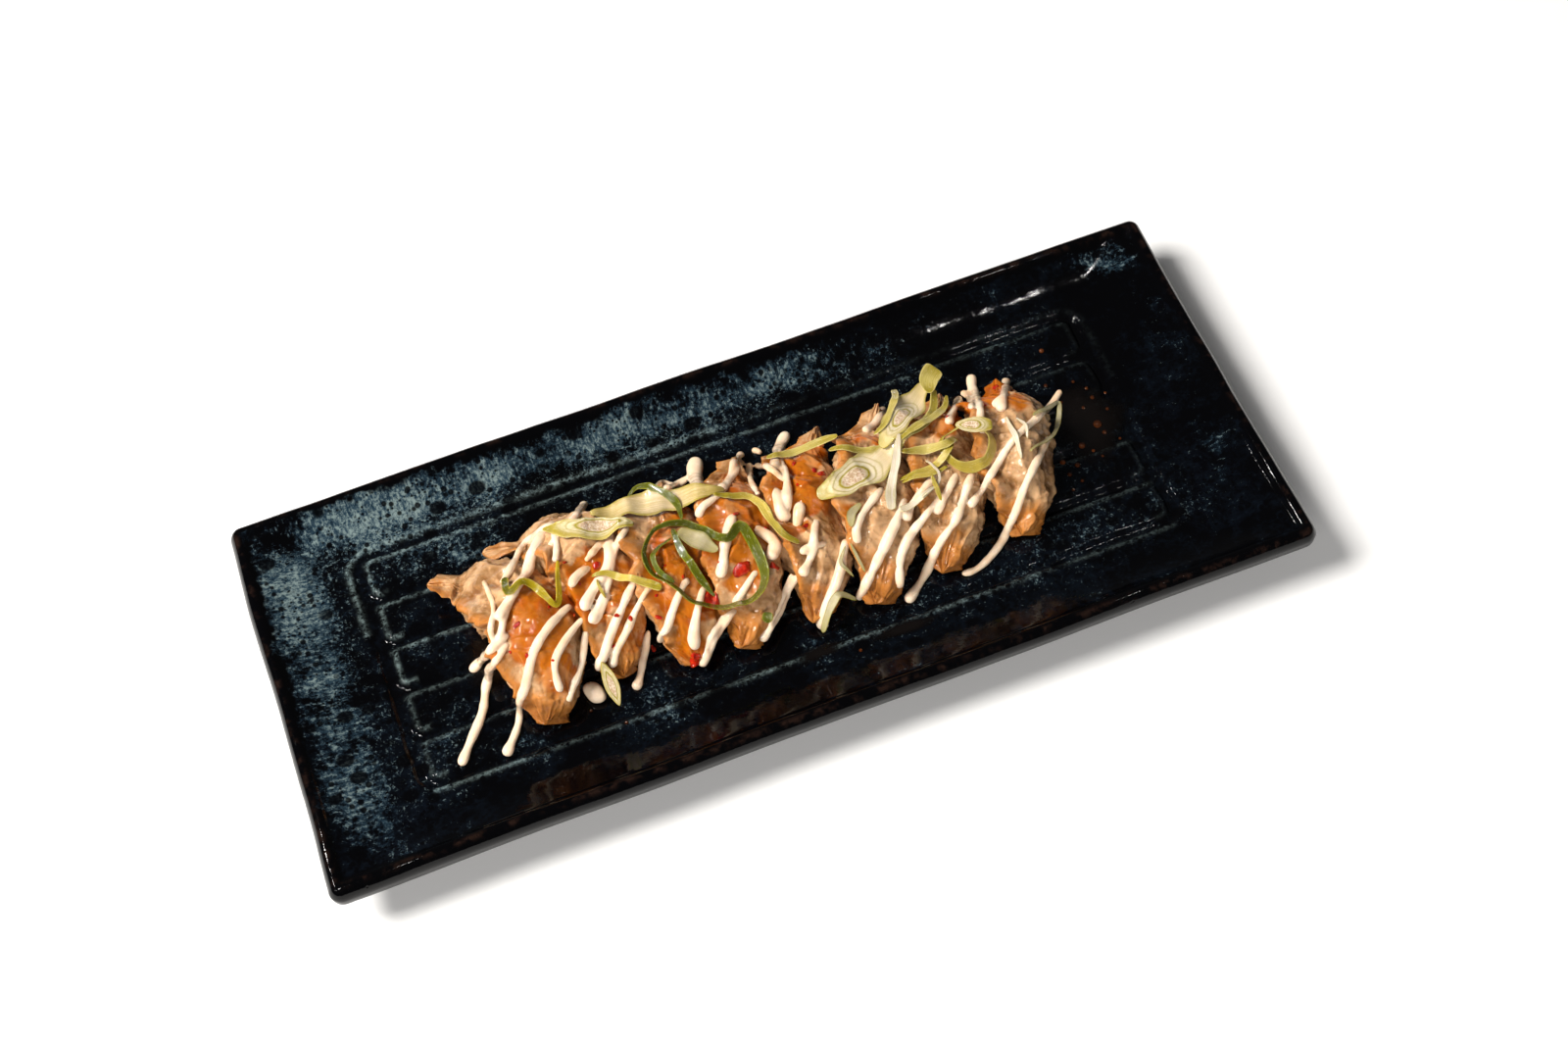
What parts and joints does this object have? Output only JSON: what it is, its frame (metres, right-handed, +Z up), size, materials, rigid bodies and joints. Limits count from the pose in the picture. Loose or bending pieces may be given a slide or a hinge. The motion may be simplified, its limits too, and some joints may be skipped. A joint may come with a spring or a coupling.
{
  "type": "plate of gyoza",
  "caption": "Pan-fried gyoza in a row on a long ribbed stoneware plate, with creamy drizzle, chilli glaze and spring onion.",
  "frame": {"origin": "under the middle of the plate, on the table", "axes": "+X along the row of dumplings, towards the end where sauce lies; +Y towards the dumplings' raised tails; +Z up"},
  "size_m": [0.3247, 0.1381, 0.0417],
  "materials": {
    "dark_glaze": "gloss",
    "wrapper": "satin",
    "cream": "gloss",
    "onion": "satin"
  },
  "bodies": {
    "root": {"plate": "dark_glaze", "gyoza_1": "wrapper", "gyoza_2": "wrapper", "gyoza_3": "wrapper", "gyoza_4": "wrapper", "gyoza_5": "wrapper", "gyoza_6": "wrapper", "gyoza_7": "wrapper", "gyoza_8": "wrapper", "drizzle_drop": "cream", "onion_slice_left": "onion", "onion_slice_pale": "onion", "onion_curl_left": "onion", "onion_strip_left": "onion", "onion_loop": "onion", "onion_loop_inner": "onion", "onion_loop_upper": "onion", "onion_strip_middle": "onion", "onion_strip_far": "onion", "onion_strip_long": "onion", "onion_slice_big": "onion", "onion_slice_far": "onion", "onion_blade_far": "onion", "onion_flake": "onion", "onion_ring": "onion", "onion_slice_right": "onion", "onion_strip_under": "onion", "onion_shred_stem": "onion", "onion_shred_branch": "onion", "onion_shred_short": "onion", "onion_thread_right": "onion", "onion_shred_right": "onion", "onion_leaf": "onion", "onion_bit": "onion", "onion_curl_near": "onion"}
  },
  "joints": []
}
